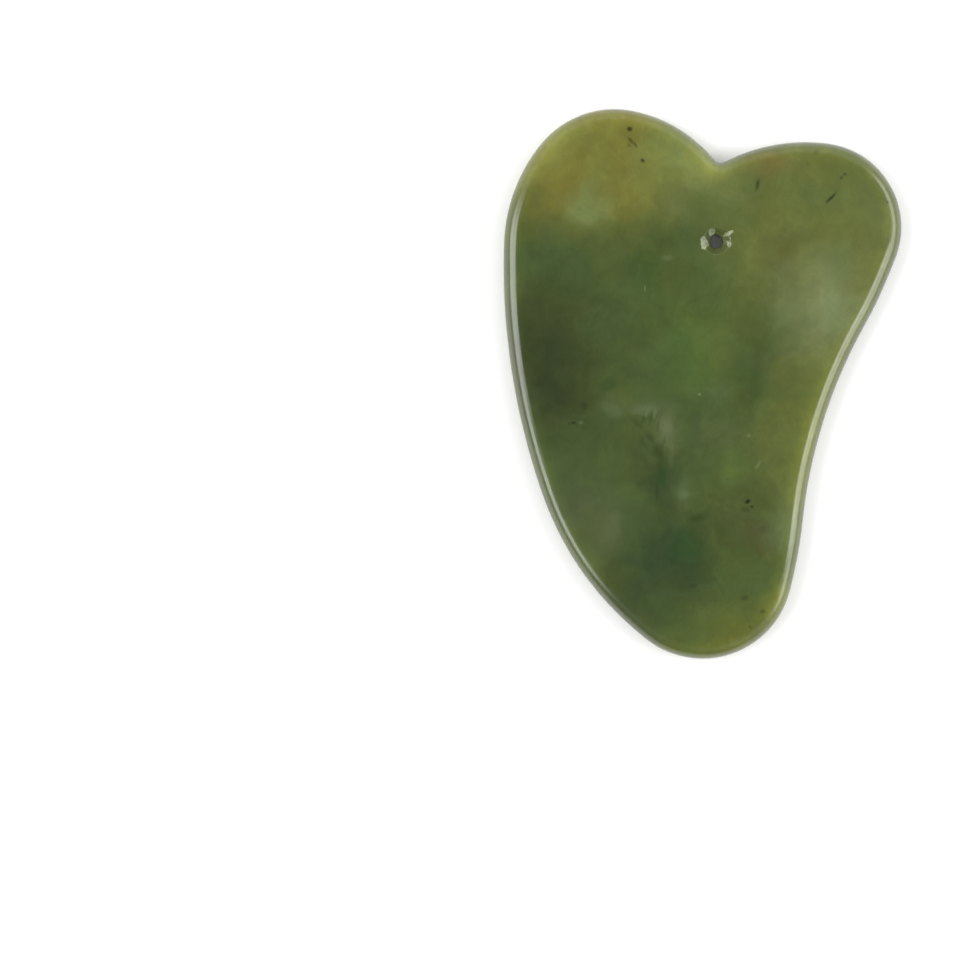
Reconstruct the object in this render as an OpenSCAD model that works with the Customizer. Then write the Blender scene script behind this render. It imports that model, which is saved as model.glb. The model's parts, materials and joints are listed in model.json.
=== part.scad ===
// Gua sha board: a flat heart-shaped plate of polished jade with one hanging hole.
// It lies on its back face, at z = 0. The two lobes and the notch between them are
// at +Y, the tail is at -Y, and the origin is the middle of the outline's box.
// All sizes are in millimetres.

/* [Plate] */
// Thickness of the plate, which is also the diameter of its half-round rim
thickness = 5.5; // [4:0.25:7]

/* [Big lobe] */
// Radius of the big lobe
big_lobe_r = 16.6; // [15:0.2:18]
// Centre of the big lobe along X
big_lobe_x = -15.4; // [-16.5:0.1:-15]
// Centre of the big lobe along Y
big_lobe_y = 31.5; // [30:0.1:32.5]
// Radius of the easier curve from the big lobe down into the notch
big_crest_r = 25; // [22:0.5:40]
// Radius of the easier curve on the outer side of the big lobe
cheek_r = 29; // [28.5:0.5:36]

/* [Small lobe] */
// Radius of the small lobe
small_lobe_r = 14.8; // [13:0.2:16]
// Centre of the small lobe along X
small_lobe_x = 20; // [18.5:0.1:21.5]
// Centre of the small lobe along Y
small_lobe_y = 27.4; // [26:0.1:29]
// Radius of the easier curve from the small lobe down into the notch
small_crest_r = 31; // [26:0.5:45]
// Radius of the small round at the bottom of the notch
notch_r = 1.4; // [0.8:0.1:3]

/* [Tail] */
// Radius of the tail's round end
tail_r = 15.8; // [14:0.2:17]
// Centre of the tail's round end along X
tail_x = 0; // [-1:0.1:1]
// Centre of the tail's round end along Y
tail_y = -32.3; // [-33.5:0.1:-31]

/* [Sides] */
// Radius of the nearly straight upper part of the convex side
flank_r = 120; // [120:5:150]
// Radius of the rounder lower part of the convex side
belly_r = 55; // [54:1:60]
// Radius of the hollow in the concave side
waist_r = 90; // [70:5:110]
// Radius of the curve that leads from the small lobe into the hollow
shoulder_r = 85; // [60:5:120]
// Radius of the curve that leads from the hollow into the tail
hip_r = 80; // [60:5:120]

/* [Hanging hole] */
// Diameter of the hole's straight middle
hole_d = 2.4; // [1.5:0.1:3]
// Diameter of the dished mouth on each face
mouth_d = 4.8; // [3.5:0.1:6]
// Depth of the dished mouth on each face
mouth_depth = 1.5; // [0.5:0.1:1.8]
// Centre of the hole along X
hole_x = 2.3; // [0:0.1:6]
// Centre of the hole along Y
hole_y = 24.8; // [20:0.1:27]

/* [Hidden] */
$fn = 64;

// Directions in which the rim faces where one curve of the outline hands over to the next,
// in degrees counterclockwise from +X
big_crest_from = 78;
cheek_from = 141;
flank_from = 178;
small_crest_from = 83;
shoulder_from = -20;
hip_from = -15;

// Half the thickness is the radius of the rim
rim_r = thickness / 2;
// Number of flats round the half circle of the rim
rim_flats = 12;
// Largest gap between the outline's curves and the straight pieces that follow them
chord_gap = 0.02;
// How far the hole's cutter passes each face
cutter_reach = 1;

// The outline is a closed chain of discs, each written as [centre, radius]. The rim follows
// a disc of positive radius on the outside and one of negative radius from the inside, and
// each disc touches the next, so the curves run into each other with no corner.

function facing(angle) = [cos(angle), sin(angle)];

// The disc of this radius that touches disc d where the rim of d faces this angle
function rolled(d, angle, radius) =
    [d[0] + (d[1] - radius) * facing(angle), radius];

// The disc of this radius that touches discs a and b, on the left going from a to b
function bridged(a, b, radius) =
    let (
        gap = norm(b[0] - a[0]),
        ahead = (b[0] - a[0]) / gap,
        left = [-ahead[1], ahead[0]],
        from_a = radius - a[1],
        from_b = radius - b[1],
        along = (gap * gap + from_a * from_a - from_b * from_b) / (2 * gap),
        across = sqrt(from_a * from_a - along * along)
    )
    [a[0] + along * ahead + across * left, radius];

big_lobe = [[big_lobe_x, big_lobe_y], big_lobe_r];
small_lobe = [[small_lobe_x, small_lobe_y], small_lobe_r];
tail = [[tail_x, tail_y], tail_r];
big_crest = rolled(big_lobe, big_crest_from, big_crest_r);
small_crest = rolled(small_lobe, small_crest_from, small_crest_r);
notch = bridged(big_crest, small_crest, -notch_r);
cheek = rolled(big_lobe, cheek_from, cheek_r);
flank = rolled(cheek, flank_from, flank_r);
belly = bridged(tail, flank, belly_r);
hip = rolled(tail, hip_from, hip_r);
shoulder = rolled(small_lobe, shoulder_from, shoulder_r);
waist = bridged(shoulder, hip, -waist_r);

// Counterclockwise from the small lobe
outline = [
    small_lobe, small_crest, notch, big_crest, big_lobe, cheek,
    flank, belly, tail, hip, waist, shoulder
];

// The direction in which the rim faces where disc a hands over to disc b
function handover(a, b) =
    let (across = (a[0] - b[0]) / (b[1] - a[1]))
    atan2(across[1], across[0]);

// Where the rim faces at the start and at the end of the outline's disc number i
function start_angle(i) =
    handover(outline[(i + len(outline) - 1) % len(outline)], outline[i]);
function end_angle(i) = handover(outline[i], outline[(i + 1) % len(outline)]);

// How far the rim turns along disc number i: left on a bulge, right in a hollow
function turned(i) =
    let (full = 360, turn = (end_angle(i) - start_angle(i) + 2 * full) % full)
    outline[i][1] > 0 ? turn : turn - full;

// Angles along disc number i, from its start up to the start of the next disc
function stops(i) =
    let (
        largest_step = 2 * acos(1 - chord_gap / abs(outline[i][1])),
        count = ceil(abs(turned(i)) / largest_step)
    )
    [for (k = [0 : count - 1]) start_angle(i) + turned(i) * k / count];

// The outline moved inwards by inset and lifted to height z
function ring(inset, z) = [
    for (i = [0 : len(outline) - 1])
        for (angle = stops(i))
            let (p = outline[i][0] + (outline[i][1] - inset) * facing(angle))
            [p[0], p[1], z]
];

// The plate before it is drilled: rings of the outline, stacked along the rim's half circle
// from the back face to the front face. Each flat face is a fan of triangles about the Z
// axis, from which straight lines reach the whole outline.
module blank() {
    rings = [
        for (k = [0 : rim_flats])
            let (lift = 180 * k / rim_flats)
            ring(rim_r * (1 - sin(lift)), rim_r * (1 - cos(lift)))
    ];
    n = len(rings[0]);
    back_middle = (rim_flats + 1) * n;
    front_middle = back_middle + 1;
    back_face = [for (j = [0 : n - 1]) [j, (j + 1) % n, back_middle]];
    front_face = [
        for (j = [0 : n - 1])
            [rim_flats * n + (j + 1) % n, rim_flats * n + j, front_middle]
    ];
    rim_faces = [
        for (k = [0 : rim_flats - 1])
            for (j = [0 : n - 1])
                let (next = (j + 1) % n)
                [k * n + j, (k + 1) * n + j, (k + 1) * n + next, k * n + next]
    ];
    polyhedron(
        points = [for (r = rings) each r, [0, 0, 0], [0, 0, thickness]],
        faces = concat(back_face, front_face, rim_faces)
    );
}

// Tool that cuts the hanging hole: a straight middle with a dished mouth on each face
module hole_cutter() {
    flare = (mouth_d - hole_d) / 2 / mouth_depth;
    wide_r = mouth_d / 2 + flare * cutter_reach;
    rotate_extrude()
        polygon([
            [0, -cutter_reach],
            [wide_r, -cutter_reach],
            [hole_d / 2, mouth_depth],
            [hole_d / 2, thickness - mouth_depth],
            [wide_r, thickness + cutter_reach],
            [0, thickness + cutter_reach]
        ]);
}

// The whole board: the blank with its hole drilled
module jade_board() {
    color([0.33, 0.42, 0.18])
        difference() {
            blank();
            translate([hole_x, hole_y, 0])
                hole_cutter();
        }
}

jade_board();
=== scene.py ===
"""A polished jade gua sha board, seen from straight above on a plain pale floor.

The board's mesh is built round its CAD plate: the outline, the thickness and the hanging hole
are read from the frame. Lengths are in millimetres until a mesh or an object is made.
"""

import json
import math

import bpy
import numpy as np
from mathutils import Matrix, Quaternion, Vector, noise
from mathutils.geometry import delaunay_2d_cdt


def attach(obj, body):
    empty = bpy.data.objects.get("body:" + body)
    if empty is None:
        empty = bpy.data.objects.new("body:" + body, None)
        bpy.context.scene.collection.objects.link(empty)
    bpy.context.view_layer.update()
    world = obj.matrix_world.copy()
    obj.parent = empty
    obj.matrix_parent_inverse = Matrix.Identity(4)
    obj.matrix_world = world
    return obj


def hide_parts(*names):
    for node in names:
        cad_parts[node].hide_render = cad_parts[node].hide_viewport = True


MM = 0.001

# Rim and faces
OUTLINE_POINTS = 720
RIM_STEPS = 24
RIM_WOBBLE = 0.04
RIM_WOBBLE_SIZE = 7.0
FACE_WAVE = 0.035
FACE_WAVE_SIZE = 14.0
# How far the rings of a face lie inside the rim's edge, before its even grid starts
FACE_RINGS = (0.25, 0.6, 1.1, 1.8, 2.8)
FACE_GRID = 1.3
FACE_GRID_MARGIN = 0.9
OUTLINE_CLEARANCE = 0.025
# Distance in from the outline that is stored for points well inside the faces
INTERIOR = 6.0
# How close to a level a CAD vertex is to count as lying on it
LEVEL_TOLERANCE = 0.01
# Decimals to which CAD vertices are rounded when doubles are dropped
ROUNDING = 4
# Settings of the Delaunay fill: only triangles inside the walls, and when points count as one
ONLY_INSIDE = 1
SAME_POINT = 1e-6

# Hanging hole
HOLE_SECTORS = 112
HOLE_RING_GAP = 0.11
HOLE_PATCH_MARGIN = 1.6
BORE_STEPS = 4
MOUTH_UNEVEN = 0.16
MOUTH_UNEVEN_SIZE = 1.3
CHIP_RAGGED = 1.2
CHIP_RAGGED_SIZE = 0.55
CHIP_STEPPED = 0.8
CHIP_STEPPED_SIZE = 0.3
# How ground the dished mouth and the bore look, where 0 is polished and 1 is freshly chipped
DISHED_GROUND = 0.4
# Depths at which the dish and a chip have their full ground look
DISH_FADE = 0.1
CHIP_FADE = 0.05
# Chips round the mouth: bearing in degrees, distance from the hole's axis, half length,
# half width, turn of the long side in degrees, depth
FRONT_CHIPS = (
    (184, 2.15, 1.2, 0.66, 92, 0.3),
    (118, 1.9, 0.75, 0.5, 65, 0.28),
    (33, 2.5, 1.05, 0.37, 27, 0.26),
    (347, 2.25, 0.62, 0.36, 88, 0.28),
)
BACK_CHIPS = (
    (70, 2.1, 0.9, 0.5, 150, 0.36),
    (200, 2.2, 0.7, 0.5, 100, 0.32),
    (300, 2.0, 0.8, 0.45, 20, 0.38),
)

# Where each feature reads the noise, so that no two look alike
RIM_SEED = 0.7
FACE_SEED = 2.9
RAGGED_SEED = 3.1
MOUTH_SEED = 5.3
STEPPED_SEED = 8.7
FRONT_MOUTH_SHIFT = 9.0
# Widens the noise, which seldom comes near its limits
NOISE_GAIN = 1.4


# ---------------------------------------------------------------- reading the CAD plate


def mesh_points(obj):
    """All vertices of a CAD node, in millimetres."""
    points = np.zeros(len(obj.data.vertices) * 3)
    obj.data.vertices.foreach_get("co", points)
    return points.reshape(-1, 3) / MM


def mount(record, name):
    return next(m for m in record["mounts"] if m["name"] == name)


def rim_outline(points, height, hole):
    """The plate's widest outline, counterclockwise: its vertices at half the thickness."""
    level = points[np.abs(points[:, 2] - height) < LEVEL_TOLERANCE][:, :2]
    level = np.unique(level.round(ROUNDING), axis=0)
    level = level[np.hypot(*(level - hole["centre"]).T) > 2 * hole["mouth_r"]]
    return level[np.argsort(np.arctan2(level[:, 1], level[:, 0]))]


def read_hole(points, record, thickness):
    """Centre, bore radius, mouth radius and mouth depth of the hanging hole."""
    bore = mount(record, "hanging_hole")
    centre = np.array(bore["pos_m"][:2]) / MM
    front = points[points[:, 2] > thickness - LEVEL_TOLERANCE][:, :2]
    return {
        "centre": centre,
        "bore_r": bore["dims"]["r_mm"],
        "mouth_r": np.hypot(*(front - centre).T).min(),
        "mouth_depth": (thickness - bore["dims"]["length_mm"]) / 2,
    }


def closed_spline(points, count):
    """A smooth closed curve through points: count evenly spaced places and outward normals."""
    ahead = np.roll(points, -1, axis=0)
    gap = np.hypot(*(ahead - points).T)
    slope = (ahead - points) / gap[:, None]
    size = len(points)
    matrix = np.zeros((size, size))
    for i in range(size):
        matrix[i, i - 1] = gap[i - 1]
        matrix[i, i] = 2 * (gap[i - 1] + gap[i])
        matrix[i, (i + 1) % size] = gap[i]
    bend = np.linalg.solve(matrix, 6 * (slope - np.roll(slope, 1, axis=0)))

    def at(distance):
        knots = np.concatenate([[0], np.cumsum(gap)])
        i = np.clip(np.searchsorted(knots, distance, side="right") - 1, 0, size - 1)
        j = (i + 1) % size
        h = gap[i][:, None]
        left = (distance - knots[i])[:, None]
        right = h - left
        place = (
            bend[i] * right**3 / (6 * h)
            + bend[j] * left**3 / (6 * h)
            + (points[i] / h - bend[i] * h / 6) * right
            + (points[j] / h - bend[j] * h / 6) * left
        )
        tangent = (
            -bend[i] * right**2 / (2 * h)
            + bend[j] * left**2 / (2 * h)
            - (points[i] / h - bend[i] * h / 6)
            + (points[j] / h - bend[j] * h / 6)
        )
        return place, tangent

    place, tangent = at(np.arange(count) * gap.sum() / count)
    normal = np.stack([tangent[:, 1], -tangent[:, 0]], axis=1)
    return place, normal / np.hypot(*normal.T)[:, None]


# ---------------------------------------------------------------- building the board's mesh


def wave(point, size, seed):
    """Smooth noise from 0 to 1 at a point, with bumps about size across."""
    value = NOISE_GAIN * noise.noise(Vector(point) / size + Vector((seed, seed, seed)))
    return 0.5 + 0.5 * max(-1.0, min(1.0, value))


def chip_depth(x, y, chips):
    """How deep the chips go below the face at a place measured from the hole's axis."""
    depth = 0.0
    for bearing, distance, half_length, half_width, turn, deepest in chips:
        dx = x - distance * math.cos(math.radians(bearing))
        dy = y - distance * math.sin(math.radians(bearing))
        c, s = math.cos(math.radians(turn)), math.sin(math.radians(turn))
        along = (c * dx + s * dy) / half_length
        across = (-s * dx + c * dy) / half_width
        ragged = 1 + CHIP_RAGGED * (wave((dx, dy, bearing), CHIP_RAGGED_SIZE, RAGGED_SEED) - 0.5)
        stepped = 1 + CHIP_STEPPED * (wave((dx, dy, bearing), CHIP_STEPPED_SIZE, STEPPED_SEED) - 0.5)
        depth = max(depth, deepest * stepped * (1 - (along**2 + across**2) * ragged))
    return depth


class Board:
    """Collects the vertices, faces and stone attributes of the board's one closed mesh."""

    def __init__(self, outline, normals, thickness, hole):
        self.outline, self.normals = outline, normals
        self.thickness, self.hole = thickness, hole
        self.points, self.faces = [], []
        self.depth_in, self.ground = [], []

    def add(self, points, depth_in=INTERIOR, ground=None):
        start = len(self.points)
        self.points += [tuple(p) for p in points]
        self.depth_in += [depth_in] * len(points)
        self.ground += [0.0] * len(points) if ground is None else list(ground)
        return np.arange(start, len(self.points))

    def join(self, a, b):
        """Quads from loop a to loop b, whose points lie side by side."""
        for i in range(len(a)):
            j = (i + 1) % len(a)
            self.faces.append((int(a[i]), int(a[j]), int(b[j]), int(b[i])))

    def inset(self, distance):
        return self.outline - self.normals * distance

    def rim(self):
        """The half-round rim, from the back face's edge to the front face's edge."""
        r = self.thickness / 2
        loops = []
        for k in range(RIM_STEPS + 1):
            lift = math.pi * (k / RIM_STEPS - 0.5)
            z = r * (1 + math.sin(lift))
            ring = self.inset(r * (1 - math.cos(lift)))
            worn = [
                OUTLINE_CLEARANCE + RIM_WOBBLE * wave((x, y, z), RIM_WOBBLE_SIZE, RIM_SEED)
                for x, y in ring
            ]
            ring = ring - self.normals * (np.array(worn) * math.cos(lift))[:, None]
            points = np.column_stack([ring, np.full(len(ring), z)])
            loops.append(self.add(points, depth_in=r * (1 - math.cos(lift))))
        for a, b in zip(loops, loops[1:]):
            self.join(a, b)
        return loops[0], loops[-1]

    def mouth(self, front):
        """The dished and chipped ground round the hole on one face. Gives its two end loops."""
        hole, chips = self.hole, FRONT_CHIPS if front else BACK_CHIPS
        inner, outer = hole["bore_r"], hole["mouth_r"] + HOLE_PATCH_MARGIN
        count = round((outer - inner) / HOLE_RING_GAP)
        bearings = 2 * math.pi * np.arange(HOLE_SECTORS) / HOLE_SECTORS
        loops = []
        for k in range(count + 1):
            radius = inner + (outer - inner) * k / count
            points, ground = [], []
            for bearing in bearings:
                x, y = radius * math.cos(bearing), radius * math.sin(bearing)
                place = (x, y, FRONT_MOUTH_SHIFT * front)
                uneven = MOUTH_UNEVEN * (wave(place, MOUTH_UNEVEN_SIZE, MOUTH_SEED) - 0.5)
                slope = (hole["mouth_r"] + uneven - radius) / (hole["mouth_r"] - inner)
                dish = max(0.0, min(1.0, slope)) * hole["mouth_depth"]
                chip = chip_depth(x, y, chips)
                depth = dish + chip
                z = self.thickness - depth if front else depth
                points.append((hole["centre"][0] + x, hole["centre"][1] + y, z))
                dished = DISHED_GROUND * min(1.0, dish / DISH_FADE)
                ground.append(max(dished, min(1.0, chip / CHIP_FADE)))
            loops.append(self.add(points, ground=ground))
        for a, b in zip(loops, loops[1:]):
            if front:
                self.join(b, a)
            else:
                self.join(a, b)
        return loops[0], loops[-1]

    def bore(self, back, front):
        """The straight wall between the two mouths."""
        lowest, highest = self.points[back[0]][2], self.points[front[0]][2]
        loops = [back]
        for k in range(1, BORE_STEPS):
            z = lowest + (highest - lowest) * k / BORE_STEPS
            ring = [(self.points[i][0], self.points[i][1], z) for i in back]
            loops.append(self.add(ring, ground=[DISHED_GROUND] * len(ring)))
        loops.append(front)
        for a, b in zip(loops, loops[1:]):
            self.join(b, a)

    def face(self, rim_loop, hole_loop, front):
        """A flat face, from the rim's edge to the ground round the hole."""
        r = self.thickness / 2
        z = self.thickness if front else 0.0
        loops = [rim_loop]
        for step in FACE_RINGS:
            ring = self.inset(r + step)
            points = np.column_stack([ring, np.full(len(ring), z)])
            loops.append(self.add(points, depth_in=r + step))
        for a, b in zip(loops, loops[1:]):
            if front:
                self.join(a, b)
            else:
                self.join(b, a)
        outer = self.inset(r + FACE_RINGS[-1])
        flat = [self.points[i] for i in hole_loop]
        grid = self.grid(outer)
        inside = self.add(np.column_stack([grid, np.full(len(grid), z)]))
        owners = [*loops[-1], *hole_loop, *inside]
        spots = [Vector(p[:2]) for p in (*outer, *flat, *grid)]
        n, m = len(outer), len(flat)
        walls = [(i, (i + 1) % n) for i in range(n)]
        walls += [(n + i, n + (i + 1) % m) for i in range(m)]
        filled = delaunay_2d_cdt(spots, walls, [], ONLY_INSIDE, SAME_POINT)
        triangles, sources = filled[2], filled[3]
        for triangle in triangles:
            origins = [sources[i][0] for i in triangle]
            if all(n <= i < n + m for i in origins):
                continue
            corners = [int(owners[i]) for i in origins]
            self.faces.append(tuple(corners if front else corners[::-1]))

    def grid(self, outer):
        """Points in a triangular pattern inside the outer loop and outside the hole's ground."""
        bearing = np.arctan2(outer[:, 1], outer[:, 0])
        order = np.argsort(bearing)
        reach = np.hypot(*outer.T)[order]
        spots = []
        rows = np.arange(outer[:, 1].min(), outer[:, 1].max(), FACE_GRID * math.sqrt(3) / 2)
        clear = self.hole["mouth_r"] + HOLE_PATCH_MARGIN + FACE_GRID / 2
        for number, y in enumerate(rows):
            shift = FACE_GRID / 2 * (number % 2)
            for x in np.arange(outer[:, 0].min() + shift, outer[:, 0].max(), FACE_GRID):
                limit = np.interp(math.atan2(y, x), bearing[order], reach, period=2 * math.pi)
                near_hole = math.hypot(*(np.array([x, y]) - self.hole["centre"])) < clear
                if math.hypot(x, y) < limit - FACE_GRID_MARGIN and not near_hole:
                    spots.append((x, y))
        return np.array(spots)

    def hand_finish(self):
        """Lowers both faces by a few hundredths of a millimetre, as polishing by hand does."""
        half = self.thickness / 2
        for i, (x, y, z) in enumerate(self.points):
            side = 1 if z > half else -1
            lost = FACE_WAVE * wave((x, y, side * FACE_WAVE_SIZE), FACE_WAVE_SIZE, FACE_SEED)
            self.points[i] = (x, y, half + (z - half) * (1 - lost / half))

    def build(self):
        back_rim, front_rim = self.rim()
        front_bore, front_ground = self.mouth(True)
        back_bore, back_ground = self.mouth(False)
        self.bore(back_bore, front_bore)
        self.face(front_rim, front_ground, True)
        self.face(back_rim, back_ground, False)
        self.hand_finish()
        mesh = bpy.data.meshes.new("polished_board")
        mesh.from_pydata([Vector(p) * MM for p in self.points], [], self.faces)
        mesh.shade_smooth()
        for name, values in (("depth_in", self.depth_in), ("ground", self.ground)):
            mesh.attributes.new(name, "FLOAT", "POINT").data.foreach_set("value", values)
        mesh.validate()
        board = bpy.data.objects.new("polished_board", mesh)
        bpy.context.scene.collection.objects.link(board)
        return board


# ---------------------------------------------------------------- shader building blocks

# Where nearly all of a noise's values lie, and their middle
NOISE_RANGE = (0.3, 0.7)
NOISE_MIDDLE = (0.5, 0.5, 0.5)
WHITE = (1.0, 1.0, 1.0)
LEVEL_PLANE = (1.0, 1.0, 0.0)


def linear(red, green, blue):
    """A colour written as 0-255 sRGB, in the linear light that shaders work in."""
    values = [c / 255 for c in (red, green, blue)]
    return [v / 12.92 if v <= 0.04045 else ((v + 0.055) / 1.055) ** 2.4 for v in values] + [1.0]


class Nodes:
    """Short ways to add nodes to one shader tree. Values may be numbers or other sockets."""

    def __init__(self, tree):
        self.tree = tree
        tree.nodes.clear()

    def add(self, kind, **settings):
        node = self.tree.nodes.new(kind)
        for name, value in settings.items():
            setattr(node, name, value)
        return node

    def put(self, socket, value):
        if isinstance(value, bpy.types.NodeSocket):
            self.tree.links.new(value, socket)
        else:
            socket.default_value = value

    def math(self, operation, a, b=0.0):
        node = self.add("ShaderNodeMath", operation=operation)
        self.put(node.inputs[0], a)
        self.put(node.inputs[1], b)
        return node.outputs[0]

    def vector(self, operation, a, b=(0.0, 0.0, 0.0)):
        node = self.add("ShaderNodeVectorMath", operation=operation)
        self.put(node.inputs[0], a)
        self.put(node.inputs[1], b)
        return node.outputs["Value" if operation == "DOT_PRODUCT" else "Vector"]

    def scaled(self, vector, factor):
        node = self.add("ShaderNodeVectorMath", operation="SCALE")
        self.put(node.inputs[0], vector)
        self.put(node.inputs["Scale"], factor)
        return node.outputs["Vector"]

    def fade(self, value, start, end, low=0.0, high=1.0):
        """Goes smoothly from low to high as value goes from start to end."""
        node = self.add("ShaderNodeMapRange", interpolation_type="SMOOTHSTEP", clamp=False)
        for name, given in zip(
            ("Value", "From Min", "From Max", "To Min", "To Max"),
            (value, start, end, low, high),
        ):
            self.put(node.inputs[name], given)
        return node.outputs["Result"]

    def stretch(self, noise, low, high):
        """Noise, stretched to run from low to high."""
        return self.fade(noise, *NOISE_RANGE, low, high)

    def around_one(self, noise, swing):
        """Noise, stretched to run as far above 1 as below it."""
        return self.stretch(noise, 1 - swing, 1 + swing)

    def grey(self, brightness):
        return self.scaled(WHITE, brightness)

    def mix(self, amount, a, b, mode="MIX"):
        node = self.add("ShaderNodeMix", data_type="RGBA", blend_type=mode)
        self.put(node.inputs[0], amount)
        self.put(node.inputs[6], a)
        self.put(node.inputs[7], b)
        return node.outputs[2]

    def noise(self, place, size, detail=3.0, rough=0.5, colour=False):
        """Noise with features about size millimetres across."""
        node = self.add("ShaderNodeTexNoise")
        self.put(node.inputs["Vector"], place)
        self.put(node.inputs["Scale"], 1 / size)
        self.put(node.inputs["Detail"], detail)
        self.put(node.inputs["Roughness"], rough)
        return node.outputs["Color" if colour else "Fac"]

    def ellipse(self, place, x, y, wide, tall, turn):
        """1 at the centre of an ellipse, falling evenly to 0 at its edge and outside it."""
        node = self.add("ShaderNodeMapping", vector_type="TEXTURE")
        self.put(node.inputs["Vector"], place)
        self.put(node.inputs["Location"], (x, y, 0))
        self.put(node.inputs["Rotation"], (0, 0, math.radians(turn)))
        self.put(node.inputs["Scale"], (wide, tall, 1))
        cone = self.add("ShaderNodeTexGradient", gradient_type="SPHERICAL")
        self.put(cone.inputs["Vector"], node.outputs["Vector"])
        return cone.outputs["Fac"]

    def attribute(self, name):
        return self.add("ShaderNodeAttribute", attribute_name=name).outputs["Fac"]

    def bump(self, height, tallest, strength, on_top_of=None):
        """The normal of a surface raised by height, where 1 is tallest, given in millimetres."""
        node = self.add("ShaderNodeBump")
        self.put(node.inputs["Strength"], strength)
        self.put(node.inputs["Distance"], tallest * MM)
        self.put(node.inputs["Height"], height)
        if on_top_of is not None:
            self.put(node.inputs["Normal"], on_top_of)
        return node.outputs["Normal"]


# ---------------------------------------------------------------- jade

# Tones are written as they look in the picture, and ALBEDO_GAIN turns them into paint
BASE_TONE = (82, 98, 52)
INK = (30, 38, 18)
FLECK = (134, 150, 116)
DEEP_GREEN = (42, 76, 34)
MOUTH_WALL = (104, 114, 66)
# Chips: pale frosted stone, painted paler still as painted glints on their facets
CHIP_AND_GLINT = (172, 186, 148)
# Painted reflection and shade: the rim's outermost band is painted grey in place of the surroundings
# mirrored at grazing angles and the shade on the rim's lower half
PAINTED_RIM_REFLECTION = (110, 118, 90)
# Painted glow: the rim is painted paler and brighter in place of light shining through the thin
# stone
PAINTED_RIM_GLOW = (1.32, 1.28, 1.12, 1.0)
ALBEDO_GAIN = (0.622, 0.612, 0.566)

# Fine unevenness: the size of each noise, and how far it swings the brightness
BILLOW_SIZE = 6.0
BILLOW_SWING = 0.09
CURD_SIZE = 1.9
CURD_SWING = 0.045
FELT_SIZE = 0.9
FELT_SWING = 0.03
FELT_STRETCH = (3.2, 0.8, 1.0)
WISP_SIZE = 5.0
WISP_WIDTH = 0.05
WISP_SWING = 0.07
WISP_PATCH_SIZE = 11.0
WISP_PATCH_RANGE = (0.42, 0.6)
TINT_SIZE = 8.0
TINT_RANGE = (0.35, 0.65)
COOL_TINT = (0.95, 1.0, 1.07, 1.0)
WARM_TINT = (1.04, 1.0, 0.93, 1.0)

# How the noise bends the clouds and spots: its size, and how far it moves them
DRIFT_SIZE = 7.0
DRIFT_REACH = 6.0
RIPPLE_SIZE = 1.8
RIPPLE_REACH = 0.9
SPOT_RIPPLE_REACH = 0.5

# The paler rim is a painted glow of light through the thin stone, and its outer band is painted
# grey as a painted reflection and shade: depths in from the outline, and where they are weaker,
# as a range of Y for the tail and of Y minus X for the big lobe. Weakening them at the tail paints
# shade there.
PAINTED_GLOW_DEPTHS = (4.4, 1.2)
PAINTED_REFLECTION_DEPTHS = (1.3, 0.35)
TAIL_FADE = (-50.0, -24.0)
TAIL_SHARE = 0.25
BIG_LOBE_FADE = (35.0, 60.0)
REFLECTION_SHARE = 0.8
BIG_LOBE_REFLECTION_SHARE = 0.35

# Ground stone at the hole: which values of the ground attribute fade in each look
DISHED_RANGE = (0.02, 0.4)
DISHED_SHARE = 0.6
CHIPPED_RANGE = (0.45, 0.95)
PITTED_RANGE = (0.0, 0.5)
GRIT_SIZE = 0.18
SPECKLE_SIZE = 0.45
SPECKLE_RANGE = (0.35, 0.62)
SPECKLE = (0.65, 1.15)

# Surface
GLOSS_SIZE = 4.0
ROUGHNESS = (0.15, 0.22)
GROUND_ROUGHNESS = 0.35
POLISH_SIZE = 0.8
POLISH_HEIGHT = 0.01
POLISH_STRENGTH = 0.25
PIT_HEIGHT = 0.06
STONE_IOR = 1.62
SUBSURFACE = 0.2
SUBSURFACE_RADIUS = (1.0, 1.3, 0.6)
SUBSURFACE_SCALE = 1.2

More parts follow.
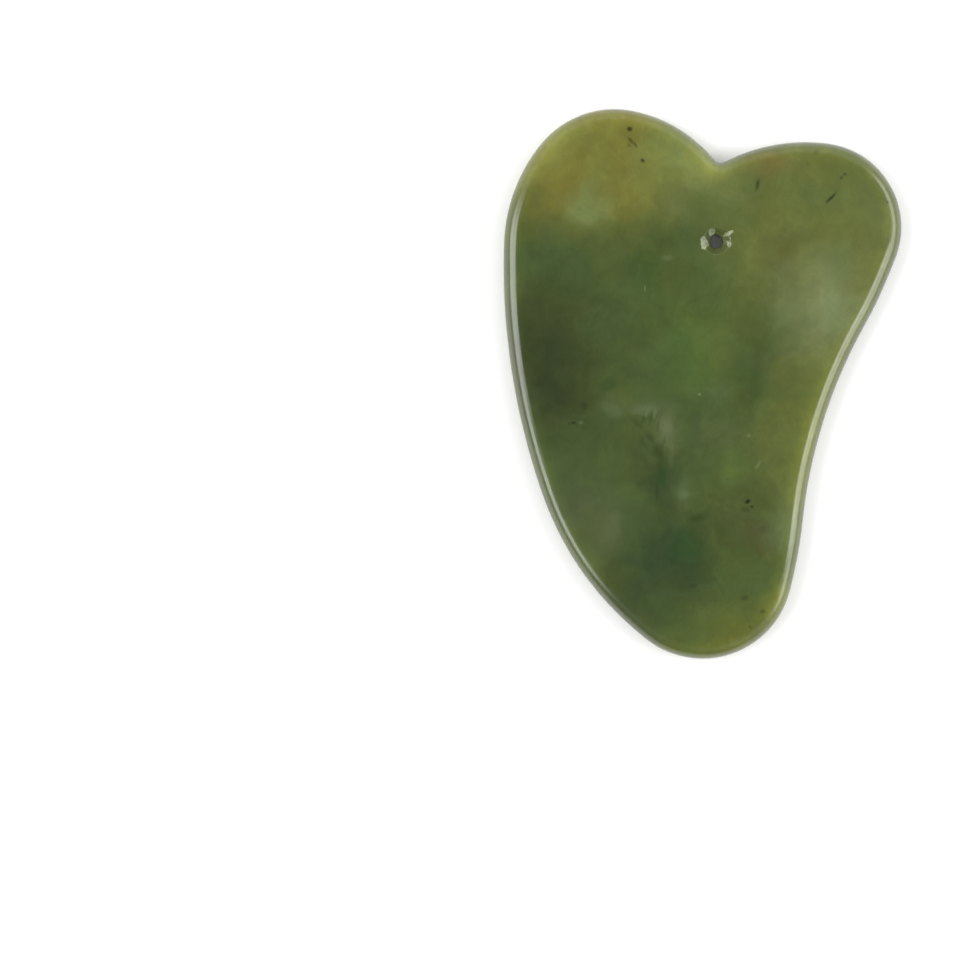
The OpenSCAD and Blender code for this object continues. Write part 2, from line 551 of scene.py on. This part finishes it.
# Clouds in the stone, each laid over those before it: tone, centre x and y, half width, half
# height, turn in degrees, how much of the radius fades, strength
CLOUDS = (
    ((127, 129, 61), -18, 42, 27, 21, -8, 0.7, 1.0),
    ((107, 118, 62), 19, 28, 27, 27, 0, 0.7, 1.0),
    ((112, 121, 64), 15, -8, 9, 26, -12, 1.0, 0.6),
    ((130, 140, 65), 22, -12, 9, 34, -13, 1.0, 0.9),
    ((108, 117, 54), 8, -47, 17, 13, 10, 0.9, 0.9),
    ((106, 118, 36), -3, -50, 20, 7, -8, 0.9, 0.8),
    ((136, 144, 62), 16, -40, 8, 10, -10, 1.0, 0.7),
    # Dark stone, partly darkened as painted shade cast by a thumb
    ((55, 66, 38), -28, 3, 18, 22, 0, 0.9, 0.9),
    ((68, 78, 46), -15, -40, 11, 12, 30, 0.9, 0.8),
    ((84, 96, 62), -20, -23, 14, 9, -50, 0.9, 0.9),
    ((60, 78, 46), -6, -31, 14, 12, 20, 0.9, 1.0),
    ((84, 108, 54), -1, 7, 11, 15, 0, 1.0, 0.8),
    ((131, 141, 95), 21.3, 13.5, 13, 15, 0, 1.0, 1.0),
    ((132, 144, 82), -1, 39, 12, 10, -35, 0.9, 1.0),
    ((138, 143, 74), -26, 41, 14, 4.5, 49, 1.0, 0.6),
    ((74, 92, 48), -6, 25, 9, 5, 0, 1.0, 0.5),
    ((74, 86, 50), 5, -23, 8, 8, 0, 1.0, 0.6),
    ((72, 90, 50), -27, 20, 11, 7, 0, 0.9, 0.7),
    ((62, 92, 46), -10, 20, 5, 7, 0, 1.0, 0.5),
    ((64, 80, 47), -8, -16, 6, 11, 15, 0.9, 0.8),
    ((86, 101, 66), 3, -9, 10, 6, 0, 1.0, 0.6),
    ((122, 112, 60), 11, 38.6, 6, 4, 0, 1.0, 0.7),
    ((122, 118, 54), -26, 33, 6, 9, -20, 1.0, 0.5),
    ((132, 146, 88), -20, 31, 6, 5, 0, 1.0, 0.75),
    ((96, 99, 58), 14, 21.5, 6, 10, 0, 1.0, 0.6),
    ((50, 82, 44), -2.5, -28, 5, 4, 20, 1.0, 0.7),
    ((100, 114, 78), -10, -4.2, 6, 3, 5, 1.0, 0.6),
    ((104, 116, 84), -6, -7.7, 2.8, 5, 15, 1.0, 0.6),
    ((96, 110, 74), -15.5, -4.4, 4, 3.5, 0, 1.0, 0.5),
    ((98, 113, 74), 1.5, -1.5, 6, 3.4, 0, 1.0, 0.5),
    ((96, 111, 72), -3.3, -19.4, 3, 4, 0, 1.0, 0.6),
    ((96, 109, 73), -16.5, -26, 4, 7, -25, 1.0, 0.6),
    ((118, 131, 84), 14.3, -24.5, 5.5, 8, -8, 1.0, 0.7),
    ((98, 114, 66), -16.3, 21.9, 5, 1.8, 20, 1.0, 0.5),
    ((118, 126, 76), 30, 27, 6, 13, -10, 1.0, 0.5),
    ((98, 99, 58), 9.8, 4.1, 4, 3, 0, 1.0, 0.5),
    ((88, 86, 52), 10.1, -26.3, 4, 4.4, 0, 1.0, 0.6),
    ((73, 92, 46), 8, 0, 6, 4, -20, 1.0, 0.5),
    ((106, 118, 60), 3, 6, 5, 6, 0, 1.0, 0.35),
    ((90, 116, 56), -3, 3, 8, 9, 0, 1.0, 0.4),
    ((100, 124, 64), 6, -14, 4, 5, 0, 1.0, 0.5),
    ((116, 130, 82), -5, 31, 5, 4, 0, 1.0, 0.5),
)

# Dark grains and threads: centre x and y, half length, half width, turn, strength
GRAINS = (
    (-12.8, 44.3, 0.55, 0.45, 0, 0.8),
    (-12.7, 42.3, 0.8, 0.35, -50, 0.5),
    (-11.9, 41.6, 0.8, 0.26, -55, 0.5),
    (-12.9, 41.5, 0.5, 0.26, -50, 0.35),
    (-10.6, 38.8, 0.5, 0.4, -40, 0.75),
    (9.4, 34.6, 1.3, 0.42, 76, 0.55),
    (22.2, 32.3, 1.4, 0.36, 45, 0.72),
    (24.0, 35.8, 0.42, 0.34, 50, 0.5),
    (24.6, 36.5, 0.42, 0.34, 50, 0.5),
    (19.7, 40.2, 0.7, 0.5, 40, 0.25),
    (18.3, 38.2, 0.6, 0.4, 0, 0.2),
    (32.2, 31.6, 0.35, 0.3, 0, 0.5),
    (-22.6, -6.9, 0.4, 0.3, 20, 0.6),
    (-23.3, -7.1, 0.3, 0.3, 0, 0.4),
    (7.7, -20.6, 0.6, 0.4, 35, 0.9),
    (8.4, -21.5, 0.45, 0.35, 0, 0.7),
    (7.3, -21.9, 0.9, 0.5, -20, 0.3),
    (-1.2, -23.4, 1.3, 0.8, 20, 0.3),
    (-1.9, -35.2, 0.7, 0.55, 0, 0.35),
    (7.2, -37.3, 0.7, 0.5, 0, 0.35),
    (10.3, -39.6, 0.6, 0.5, 0, 0.4),
    (8.1, -42.5, 0.5, 0.25, -60, 0.35),
    (-11.5, -7.0, 1.8, 0.5, -38, 0.26),
    (-9.3, -9.3, 1.9, 0.65, -50, 0.24),
    (-7.9, -11.6, 1.8, 1.0, -74, 0.22),
    (-10.4, -10.6, 1.6, 0.4, -62, 0.16),
    (-10.9, -17.3, 1.2, 0.7, 10, 0.2),
    (-8.1, -18.8, 2.2, 0.35, 88, 0.22),
    (-10.6, -6.4, 1.0, 0.28, 68, 0.26),
    (-9.2, -5.9, 1.3, 0.3, 80, 0.26),
    (-7.9, -7.4, 1.2, 0.28, 84, 0.24),
    (-6.9, -10.2, 1.4, 0.3, 76, 0.2),
    (-20.8, -3.8, 0.9, 0.55, -60, 0.3),
)

# Pale flecks, with the same columns
PALE_FLECKS = (
    (-10.2, 16.5, 0.7, 0.15, 88, 0.45),
    (-0.7, -1.9, 0.38, 0.34, 0, 0.55),
    (7.9, -9.1, 0.5, 0.4, 30, 0.35),
    (9.5, -14.2, 1.0, 0.35, 62, 0.4),
    (-6.2, 21.9, 1.2, 0.5, 10, 0.2),
    (-21.4, -6.9, 0.5, 0.4, 0, 0.25),
    (-6.4, -7.8, 2.0, 1.2, 87, 0.17),
    (-5.6, -12.6, 2.2, 0.6, 85, 0.12),
    (-15.8, -4.9, 1.9, 1.3, -20, 0.12),
    (-10.6, -4.7, 2.6, 1.0, 5, 0.12),
    (-8.5, -5.2, 1.1, 0.35, 78, 0.25),
    (-9.9, -5.0, 1.0, 0.35, 72, 0.22),
    (-3.4, -19.4, 1.3, 1.0, 40, 0.2),
    (-16.0, -25.5, 1.7, 3.6, -15, 0.1),
)

# Deep green spots, with the same columns
GREENS = (
    (-7.4, -13.9, 1.9, 0.7, 88, 0.3),
    (-7.2, -16.2, 2.2, 1.0, 88, 0.55),
    (0.0, -23.2, 2.2, 1.0, 55, 0.35),
    (-16.8, -0.2, 1.8, 1.2, 20, 0.35),
)

# How far a spot's soft edge reaches, as a share of its size, and how much of that way it fades
SPOT_REACH = 1.3
SPOT_FADE = 0.77


def spot_masks(n, place, spots):
    """One mask that covers every spot of a list, softly edged."""
    total = 0.0
    for x, y, half_length, half_width, turn, strength in spots:
        inside = n.ellipse(place, x, y, SPOT_REACH * half_length, SPOT_REACH * half_width, turn)
        total = n.math("MAXIMUM", total, n.fade(inside, 0.0, SPOT_FADE, 0.0, strength))
    return total


def clouds(n, place):
    """The large soft clouds of tone."""
    colour = linear(*BASE_TONE)
    for tone, x, y, wide, tall, turn, fading, strength in CLOUDS:
        mask = n.fade(n.ellipse(place, x, y, wide, tall, turn), 0.0, fading, 0.0, strength)
        colour = n.mix(mask, colour, linear(*tone))
    return colour


def mottling(n, place):
    """Fine unevenness, as a colour near white: billows, curds, felt and pale wisps."""
    billow = n.around_one(n.noise(place, BILLOW_SIZE, 3.0, 0.5), BILLOW_SWING)
    curd = n.around_one(n.noise(place, CURD_SIZE, 3.0, 0.55), CURD_SWING)
    stretched = n.vector("MULTIPLY", place, FELT_STRETCH)
    felt = n.around_one(n.noise(stretched, FELT_SIZE, 2.0), FELT_SWING)
    vein = n.math("ABSOLUTE", n.math("SUBTRACT", n.noise(place, WISP_SIZE, 4.0, 0.55), 0.5))
    patchy = n.fade(n.noise(place, WISP_PATCH_SIZE, 2.0), *WISP_PATCH_RANGE, 0.0, WISP_SWING)
    wisps = n.math("ADD", 1.0, n.math("MULTIPLY", n.fade(vein, WISP_WIDTH, 0.0), patchy))
    light = n.math("MULTIPLY", n.math("MULTIPLY", billow, curd), n.math("MULTIPLY", felt, wisps))
    tint = n.mix(n.fade(n.noise(place, TINT_SIZE, 2.0), *TINT_RANGE), COOL_TINT, WARM_TINT)
    return n.mix(1.0, tint, n.grey(light), "MULTIPLY")


def jade():
    """Polished nephrite: clouds, felted grain, dark grains, pale flecks, a rim painted paler as a
    painted glow, a painted grey reflection and shade on its outer band, and chips painted pale,
    partly as painted glints.
    """
    material = bpy.data.materials.new("polished_jade")
    material.use_nodes = True
    n = Nodes(material.node_tree)
    coordinates = n.add("ShaderNodeTexCoord").outputs["Object"]
    place = n.scaled(coordinates, 1 / MM)
    drift = n.vector("SUBTRACT", n.noise(place, DRIFT_SIZE, 2.0, colour=True), NOISE_MIDDLE)
    ripple = n.vector("SUBTRACT", n.noise(place, RIPPLE_SIZE, 2.0, colour=True), NOISE_MIDDLE)
    bent = n.vector("ADD", place, n.scaled(drift, DRIFT_REACH))
    bent = n.vector("ADD", bent, n.scaled(ripple, RIPPLE_REACH))
    cloud_place = n.vector("MULTIPLY", bent, LEVEL_PLANE)
    rippled = n.vector("ADD", place, n.scaled(ripple, SPOT_RIPPLE_REACH))
    spot_place = n.vector("MULTIPLY", rippled, LEVEL_PLANE)

    colour = n.mix(1.0, clouds(n, cloud_place), mottling(n, bent), "MULTIPLY")
    depth_in = n.attribute("depth_in")
    split = n.add("ShaderNodeSeparateXYZ")
    n.put(split.inputs[0], place)
    above_tail = n.fade(split.outputs["Y"], *TAIL_FADE, TAIL_SHARE, 1.0)
    # Painted glow along the rim, weaker towards the tail, which paints shade there
    painted_glow = n.math("MULTIPLY", n.fade(depth_in, *PAINTED_GLOW_DEPTHS), above_tail)
    colour = n.mix(painted_glow, colour, PAINTED_RIM_GLOW, "MULTIPLY")
    towards_big_lobe = n.math("SUBTRACT", split.outputs["Y"], split.outputs["X"])
    lobe = n.fade(towards_big_lobe, *BIG_LOBE_FADE, REFLECTION_SHARE, BIG_LOBE_REFLECTION_SHARE)
    # Painted grey reflection and shade on the rim's outer band, weaker at the tail and at the big
    # lobe
    reflection_amount = n.math("MULTIPLY", above_tail, lobe)
    grey = n.math("MULTIPLY", n.fade(depth_in, *PAINTED_REFLECTION_DEPTHS), reflection_amount)
    colour = n.mix(grey, colour, linear(*PAINTED_RIM_REFLECTION))
    colour = n.mix(spot_masks(n, spot_place, PALE_FLECKS), colour, linear(*FLECK))
    colour = n.mix(spot_masks(n, spot_place, GREENS), colour, linear(*DEEP_GREEN))
    colour = n.mix(spot_masks(n, spot_place, GRAINS), colour, linear(*INK))

    ground = n.attribute("ground")
    grit = n.noise(place, GRIT_SIZE, 3.0, 0.7)
    broken = n.noise(place, SPECKLE_SIZE, 3.0, 0.6)
    speckle = n.grey(n.fade(broken, *SPECKLE_RANGE, *SPECKLE))
    dished = n.fade(ground, *DISHED_RANGE, 0.0, DISHED_SHARE)
    colour = n.mix(dished, colour, linear(*MOUTH_WALL))
    # Chips painted pale: partly frosted ground stone, partly painted glints
    frost_and_glint = n.mix(1.0, linear(*CHIP_AND_GLINT), speckle, "MULTIPLY")
    colour = n.mix(n.fade(ground, *CHIPPED_RANGE), colour, frost_and_glint)
    colour = n.mix(1.0, colour, (*ALBEDO_GAIN, 1.0), "MULTIPLY")

    gloss = n.stretch(n.noise(place, GLOSS_SIZE, 4.0, 0.6), *ROUGHNESS)
    rough = n.math("ADD", gloss, n.fade(ground, 0.0, 1.0, 0.0, GROUND_ROUGHNESS))
    polish = n.bump(n.noise(place, POLISH_SIZE, 3.0, 0.6), POLISH_HEIGHT, POLISH_STRENGTH)
    pitted = n.bump(grit, PIT_HEIGHT, n.fade(ground, *PITTED_RANGE), on_top_of=polish)

    shader = n.add("ShaderNodeBsdfPrincipled")
    n.put(shader.inputs["Base Color"], colour)
    n.put(shader.inputs["Roughness"], rough)
    n.put(shader.inputs["IOR"], STONE_IOR)
    n.put(shader.inputs["Subsurface Weight"], SUBSURFACE)
    n.put(shader.inputs["Subsurface Radius"], SUBSURFACE_RADIUS)
    n.put(shader.inputs["Subsurface Scale"], SUBSURFACE_SCALE * MM)
    n.put(shader.inputs["Normal"], pitted)
    output = n.add("ShaderNodeOutputMaterial")
    n.put(output.inputs["Surface"], shader.outputs["BSDF"])
    return material


# ---------------------------------------------------------------- floor, light and camera

FLOOR_HALF = 3000.0
FLOOR_TONE = (248, 248, 247)
FLOOR_GRAIN_SIZE = 60.0
FLOOR_GRAIN = (0.99, 1.0)
FLOOR_ROUGHNESS = 0.8
FLOOR_SPECULAR = 0.1
# How far each softbox is tipped in its own plane, in degrees
SOFTBOX_ROLL = 10.0
# Each softbox: the x and y it faces, its azimuth, elevation and distance from there, its width
# and height, and its power
SOFTBOXES = (
    (0.0, 0.0, 5.0, 32.0, 2100.0, 2400.0, 940.0, 23.0),
    (0.0, 0.0, 190.0, 32.0, 2100.0, 2100.0, 940.0, 28.0),
    (32.0, 22.0, -18.0, 52.0, 250.0, 75.0, 75.0, 0.09),
    (0.0, 0.0, 173.0, 52.0, 2100.0, 700.0, 700.0, 7.2),
)
OVERHEAD_SIZE = 2000.0
OVERHEAD_HEIGHT = 1200.0
OVERHEAD_WATTS = 9.0
WALLS_STRENGTH = 0.85
CEILING_STRENGTH = 0.08
# Sines of the elevations between which the walls turn into the ceiling
CEILING_FADE = (0.6, 0.96)
# The walls are dimmer towards this side, where the person holding the camera would stand
DIM_SIDE = (-0.34, -0.94, 0.0)
DIM_SIDE_FADE = (0.3, 0.85)
DIM_SIDE_SHARE = 0.3
CAMERA_HEIGHT = 600.0
VIEW_WIDTH = 167.1
BOARD_RIGHT_OF_MIDDLE = 38.9
BOARD_ABOVE_MIDDLE = 16.8
SENSOR_WIDTH = 36.0


def floor():
    """A plain pale floor that the board lies on."""
    mesh = bpy.data.meshes.new("floor")
    half = FLOOR_HALF * MM
    corners = [(-half, -half, 0), (half, -half, 0), (half, half, 0), (-half, half, 0)]
    mesh.from_pydata(corners, [], [(0, 1, 2, 3)])
    obj = bpy.data.objects.new("floor", mesh)
    bpy.context.scene.collection.objects.link(obj)
    material = bpy.data.materials.new("pale_floor")
    material.use_nodes = True
    n = Nodes(material.node_tree)
    place = n.scaled(n.add("ShaderNodeTexCoord").outputs["Object"], 1 / MM)
    grain = n.stretch(n.noise(place, FLOOR_GRAIN_SIZE, 3.0), *FLOOR_GRAIN)
    colour = n.mix(1.0, linear(*FLOOR_TONE), n.grey(grain), "MULTIPLY")
    shader = n.add("ShaderNodeBsdfPrincipled")
    n.put(shader.inputs["Base Color"], colour)
    n.put(shader.inputs["Roughness"], FLOOR_ROUGHNESS)
    n.put(shader.inputs["Specular IOR Level"], FLOOR_SPECULAR)
    output = n.add("ShaderNodeOutputMaterial")
    n.put(output.inputs["Surface"], shader.outputs["BSDF"])
    mesh.materials.append(material)
    return obj


def area_light(name, width, height, watts):
    light = bpy.data.lights.new(name, "AREA")
    light.shape = "RECTANGLE"
    light.size, light.size_y = width * MM, height * MM
    light.energy = watts
    obj = bpy.data.objects.new(name, light)
    bpy.context.scene.collection.objects.link(obj)
    obj.visible_camera = False
    return obj


def softbox(x, y, azimuth, elevation, distance, width, height, watts):
    """One softbox beside the board, tipped so that one end stands higher."""
    obj = area_light("softbox", width, height, watts)
    around, up = math.radians(azimuth), math.radians(elevation)
    level = math.cos(up)
    direction = Vector((math.cos(around) * level, math.sin(around) * level, math.sin(up)))
    obj.location = (Vector((x, y, 0)) + direction * distance) * MM
    facing = (-direction).to_track_quat("-Z", "Y")
    roll = Quaternion((0, 0, 1), math.radians(SOFTBOX_ROLL))
    obj.rotation_euler = (facing @ roll).to_euler()


def overhead():
    """A broad polarised fill from above: it lights floor and stone but leaves no glare."""
    obj = area_light("overhead", OVERHEAD_SIZE, OVERHEAD_SIZE, OVERHEAD_WATTS)
    obj.location = (0, 0, OVERHEAD_HEIGHT * MM)
    obj.visible_glossy = False


def surroundings():
    """White walls near the horizon and a dim ceiling, so the flat face shows no glare."""
    world = bpy.data.worlds.new("studio")
    world.use_nodes = True
    n = Nodes(world.node_tree)
    direction = n.add("ShaderNodeTexCoord").outputs["Generated"]
    height = n.add("ShaderNodeSeparateXYZ")
    n.put(height.inputs[0], direction)
    background = n.add("ShaderNodeBackground")
    n.put(background.inputs["Color"], (1.0, 1.0, 1.0, 1.0))
    walls = n.fade(height.outputs["Z"], *CEILING_FADE, WALLS_STRENGTH, CEILING_STRENGTH)
    towards = n.vector("DOT_PRODUCT", direction, DIM_SIDE)
    dimming = n.fade(towards, *DIM_SIDE_FADE, 1.0, DIM_SIDE_SHARE)
    strength = n.math("MULTIPLY", walls, dimming)
    n.put(background.inputs["Strength"], strength)
    output = n.add("ShaderNodeOutputWorld")
    n.put(output.inputs["Surface"], background.outputs["Background"])
    bpy.context.scene.world = world


def camera(top):
    """Looks straight down. The board sits right of the picture's middle and above it."""
    data = bpy.data.cameras.new("camera")
    data.sensor_width = SENSOR_WIDTH
    data.lens = SENSOR_WIDTH * CAMERA_HEIGHT / VIEW_WIDTH
    obj = bpy.data.objects.new("camera", data)
    bpy.context.scene.collection.objects.link(obj)
    obj.location = Vector((-BOARD_RIGHT_OF_MIDDLE, -BOARD_ABOVE_MIDDLE, top + CAMERA_HEIGHT)) * MM
    bpy.context.scene.camera = obj


# ---------------------------------------------------------------- the scene

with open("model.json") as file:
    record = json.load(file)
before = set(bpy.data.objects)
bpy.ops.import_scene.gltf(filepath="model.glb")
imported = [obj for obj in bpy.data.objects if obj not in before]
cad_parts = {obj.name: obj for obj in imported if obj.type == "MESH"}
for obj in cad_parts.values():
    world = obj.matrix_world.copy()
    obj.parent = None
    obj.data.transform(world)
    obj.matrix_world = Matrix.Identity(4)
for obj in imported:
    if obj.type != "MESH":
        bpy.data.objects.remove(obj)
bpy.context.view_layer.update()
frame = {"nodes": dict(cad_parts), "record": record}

plate = frame["nodes"]["jade_board"]
plate_points = mesh_points(plate)
plate_thickness = float(np.ptp(plate_points[:, 2]))
hanging_hole = read_hole(plate_points, frame["record"], plate_thickness)
corners = rim_outline(plate_points, plate_thickness / 2, hanging_hole)
outline, normals = closed_spline(corners, OUTLINE_POINTS)

board = Board(outline, normals, plate_thickness, hanging_hole).build()
board.data.materials.append(jade())
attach(board, "root")
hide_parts("jade_board")

floor()
for sizes in SOFTBOXES:
    softbox(*sizes)
overhead()
surroundings()
camera(plate_thickness)
bpy.context.scene.view_settings.view_transform = "Standard"
